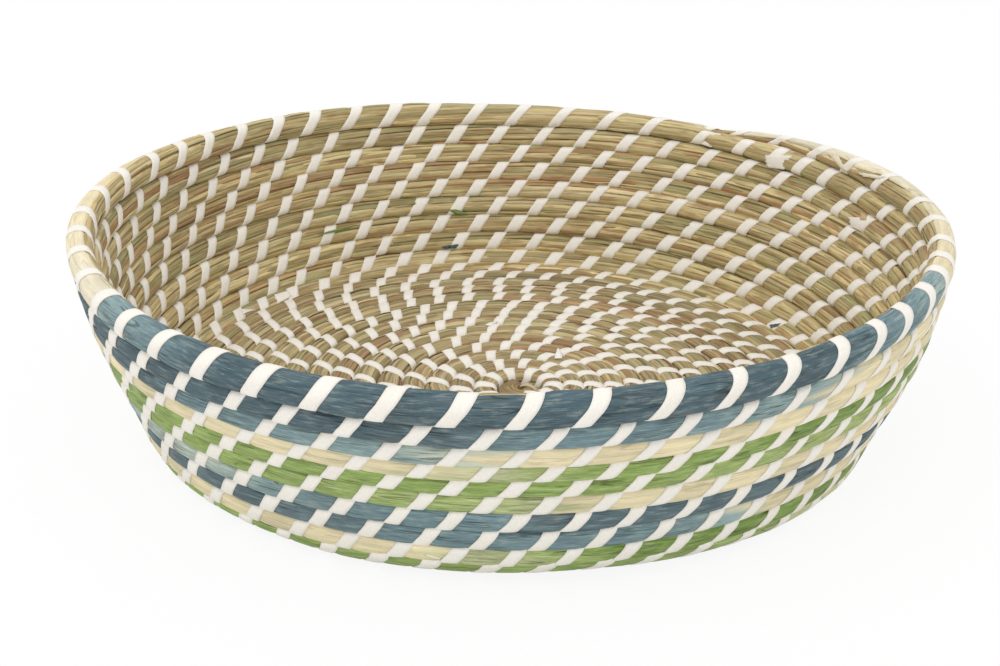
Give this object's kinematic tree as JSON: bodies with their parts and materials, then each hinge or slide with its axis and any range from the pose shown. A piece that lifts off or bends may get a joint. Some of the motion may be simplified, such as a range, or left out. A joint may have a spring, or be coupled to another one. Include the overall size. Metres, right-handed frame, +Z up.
{
  "type": "coiled basket",
  "caption": "Wide open bowl basket of coiled grass, wound from a flat round base up a flared wall, with dyed leaf covers and a pale strip binding at the rim.",
  "frame": {"origin": "middle of the bounding box, at the height of the flat foot", "axes": "+Z up through the open top; +Y towards the far side in the picture; +X to its right"},
  "size_m": [0.3998, 0.3982, 0.1043],
  "materials": {
    "grass": "dry brown grass stems, matt",
    "cream_leaf": "dry undyed leaf, matt",
    "blue_leaf": "dry leaf dyed slate blue, matt",
    "navy_leaf": "dry leaf dyed dark blue, matt",
    "pale_blue_leaf": "dry leaf dyed pale blue, matt",
    "green_leaf": "dry leaf dyed green, matt",
    "strip": "pale flat binding strip, slight sheen"
  },
  "bodies": {
    "root": {"wall_coil": "grass", "base_coil": "grass", "rim_binding": "strip", "rim_cover_pale": "cream_leaf", "rim_cover_blue": "blue_leaf", "rim_cover_cream": "cream_leaf", "row_2_cover_cream": "cream_leaf", "row_2_cover_blue": "blue_leaf", "row_3_cover_cream": "cream_leaf", "row_3_cover_blue": "blue_leaf", "row_4_cover_green": "green_leaf", "row_4_cover_cream": "cream_leaf", "row_5_cover_green": "green_leaf", "row_6_cover_cream": "cream_leaf", "row_6_cover_green": "green_leaf", "row_7_cover_navy": "navy_leaf", "row_7_cover_pale_blue": "pale_blue_leaf", "row_8_cover_cream": "cream_leaf", "row_8_cover_navy": "navy_leaf", "row_9_cover_green": "green_leaf", "row_9_cover_cream": "cream_leaf", "row_10_cover_cream": "cream_leaf", "row_10_cover_green": "green_leaf"}
  },
  "joints": []
}
